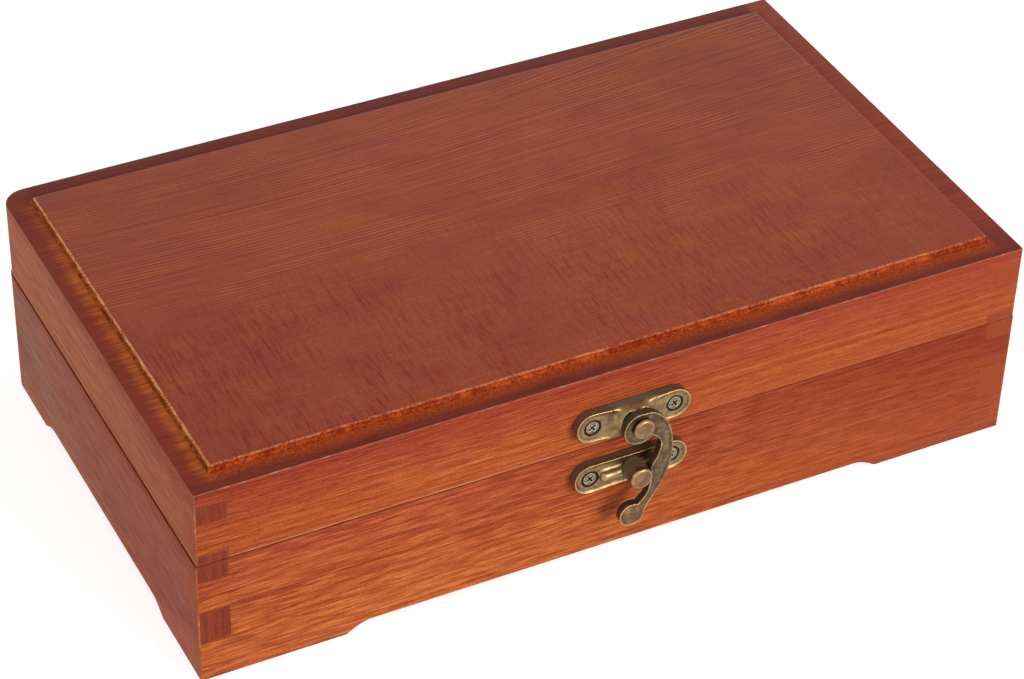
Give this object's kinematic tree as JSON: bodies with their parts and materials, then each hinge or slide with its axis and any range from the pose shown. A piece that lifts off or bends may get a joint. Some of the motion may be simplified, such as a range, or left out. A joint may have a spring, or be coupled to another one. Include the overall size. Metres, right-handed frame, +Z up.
{
  "type": "keepsake box",
  "caption": "Shallow finger-jointed wooden box with a hinged lid, a raised panel on top, arched feet and a swing-hook clasp that closes on a post.",
  "frame": {"origin": "centre of the bounding box on the surface that the box stands on", "axes": "+X along the front to the right as seen from the front, +Y to the back where the hinges are, +Z up"},
  "size_m": [0.25, 0.1574, 0.0657],
  "materials": {
    "wood": "red-brown stain under gloss lacquer",
    "top_wood": "darker red-brown stain under gloss lacquer",
    "panel_wood": "bare plywood, matte",
    "brass": "antiqued, dark with worn bright edges",
    "bronze": "antiqued, satin",
    "screw_metal": "dull, lightly brassed"
  },
  "bodies": {
    "base": {"base_front_board": "wood", "base_back_board": "wood", "base_left_board": "wood", "base_right_board": "wood", "base_bottom_panel": "panel_wood", "hinge_left_base_leaf": "brass", "hinge_right_base_leaf": "brass", "hinge_left_pin": "brass", "hinge_right_pin": "brass", "hinge_base_screws": "screw_metal", "clasp_lower_plate": "brass", "clasp_catch_post": "bronze", "clasp_lower_screws": "screw_metal"},
    "lid": {"lid_front_board": "wood", "lid_back_board": "wood", "lid_left_board": "wood", "lid_right_board": "wood", "lid_top_board": "top_wood", "hinge_left_lid_leaf": "brass", "hinge_right_lid_leaf": "brass", "hinge_lid_screws": "screw_metal", "clasp_upper_plate": "brass", "clasp_rivet": "bronze", "clasp_upper_screws": "screw_metal"},
    "hook": {"clasp_hook": "brass"}
  },
  "joints": [
    {"name": "lid_hinge", "type": "hinge", "parent": "base", "child": "lid", "pos_m": [0, 0.07629, 0.04], "axis": [-1, 0, 0], "range_deg": [0, 105]},
    {"name": "hook_pivot", "type": "hinge", "parent": "lid", "child": "hook", "pos_m": [0.0005, -0.076, 0.0484], "axis": [0, -1, 0], "range_deg": [0, 300]}
  ]
}
